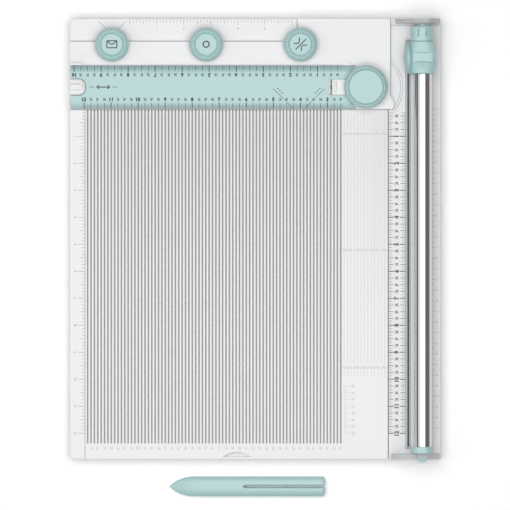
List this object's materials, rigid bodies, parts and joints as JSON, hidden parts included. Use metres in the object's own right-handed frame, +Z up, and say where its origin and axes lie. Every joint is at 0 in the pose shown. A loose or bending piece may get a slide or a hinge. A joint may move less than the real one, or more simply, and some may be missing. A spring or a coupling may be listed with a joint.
{
  "type": "rotary paper trimmer",
  "caption": "Flat board with a sliding rotary cutter on a lifting rail, a grooved score panel, corner punches, a swinging ruler arm and a loose scoring tool.",
  "frame": {"origin": "on the table, under the middle of the whole set: board and loose scoring tool together", "axes": "+X to the right, towards the cutter rail; +Y away from the user, towards the rear deck; +Z up"},
  "size_m": [0.349, 0.4496, 0.0474],
  "materials": {
    "white_abs": "moulded, fine satin",
    "grey_abs": "moulded, fine satin",
    "teal_abs": "moulded, satin",
    "cutting_mat": "matt",
    "clear_acrylic": "clear, moulded",
    "polished_steel": "polished tube",
    "tool_steel": "ground",
    "zinc_steel": "zinc plated",
    "rubber_foot": "matt"
  },
  "bodies": {
    "board": {"base_shell": "white_abs", "bottom_cover": "white_abs", "score_panel": "white_abs", "margin_strip": "white_abs", "punch_ledge": "white_abs", "rear_deck": "white_abs", "foot_1": "rubber_foot", "foot_2": "rubber_foot", "foot_3": "rubber_foot", "foot_4": "rubber_foot", "case_screw_1": "zinc_steel", "case_screw_2": "zinc_steel", "case_screw_3": "zinc_steel", "case_screw_4": "zinc_steel", "notch_die": "tool_steel", "hole_die": "tool_steel", "corner_die": "tool_steel", "notch_guide": "white_abs", "hole_guide": "white_abs", "corner_guide": "white_abs", "notch_spring": "zinc_steel", "hole_spring": "zinc_steel", "corner_spring": "zinc_steel", "pivot_post": "zinc_steel", "pivot_washer": "zinc_steel", "pivot_screw": "zinc_steel", "trim_strip": "grey_abs", "cutting_mat": "cutting_mat", "hinge_block": "grey_abs", "hinge_pin": "zinc_steel"},
    "notch_press": {"notch_button": "teal_abs", "notch_punch": "tool_steel"},
    "hole_press": {"hole_button": "teal_abs", "hole_punch": "tool_steel"},
    "corner_press": {"corner_button": "teal_abs", "corner_punch": "tool_steel"},
    "arm": {"arm_carrier": "white_abs", "arm_ruler": "teal_abs", "release_spring": "zinc_steel"},
    "lock": {"arm_lock": "white_abs"},
    "release": {"release_button": "teal_abs"},
    "rail": {"paper_guard": "clear_acrylic", "rail_guard": "clear_acrylic", "rear_end_plate": "clear_acrylic", "front_end_plate": "clear_acrylic", "rear_rail_cap": "teal_abs", "front_rail_cap": "teal_abs", "rail_tube": "polished_steel"},
    "carriage": {"carriage_body": "teal_abs", "blade_cover": "teal_abs", "blade_axle": "zinc_steel", "cover_screw": "zinc_steel", "front_bush": "white_abs", "rear_bush": "white_abs"},
    "blade": {"rotary_blade": "tool_steel"},
    "tool": {"scoring_tool": "teal_abs"}
  },
  "joints": [
    {"name": "arm_swing", "type": "hinge", "parent": "board", "child": "arm", "pos_m": [0.1039, 0.1604, 0.0223], "axis": [0, 0, 1], "range_deg": [0, 90]},
    {"name": "lock_slide", "type": "slide", "parent": "arm", "child": "lock", "axis": [-1, 0, 0], "range_m": [0, 0.0033]},
    {"name": "release_press", "type": "slide", "parent": "arm", "child": "release", "axis": [0, 0, -1], "range_m": [0, 0.003], "stiffness_N_per_m": 900, "springref_m": -0.003, "deforming": ["release_spring"]},
    {"name": "notch_press_down", "type": "slide", "parent": "board", "child": "notch_press", "axis": [0, 0, -1], "range_m": [0, 0.004], "stiffness_N_per_m": 1500, "springref_m": -0.004, "deforming": ["notch_spring"]},
    {"name": "hole_press_down", "type": "slide", "parent": "board", "child": "hole_press", "axis": [0, 0, -1], "range_m": [0, 0.004], "stiffness_N_per_m": 1500, "springref_m": -0.004, "deforming": ["hole_spring"]},
    {"name": "corner_press_down", "type": "slide", "parent": "board", "child": "corner_press", "axis": [0, 0, -1], "range_m": [0, 0.004], "stiffness_N_per_m": 1500, "springref_m": -0.004, "deforming": ["corner_spring"]},
    {"name": "rail_lift", "type": "hinge", "parent": "board", "child": "rail", "pos_m": [0.152, 0.2222, 0.0214], "axis": [-1, 0, 0], "range_deg": [0, 45]},
    {"name": "carriage_slide", "type": "slide", "parent": "rail", "child": "carriage", "axis": [0, -1, 0], "range_m": [0, 0.349]},
    {"name": "blade_spin", "type": "hinge", "parent": "carriage", "child": "blade", "pos_m": [0.144, 0.1878, 0.0322], "axis": [1, 0, 0], "continuous": true},
    {"name": "tool_lift", "type": "slide", "parent": "board", "child": "tool", "axis": [0, 0, 1], "range_m": [0, 0.06]}
  ],
  "couplings": [
    {"joint": "blade_spin", "follows": "carriage_slide", "rad_per_m": 71.429}
  ]
}
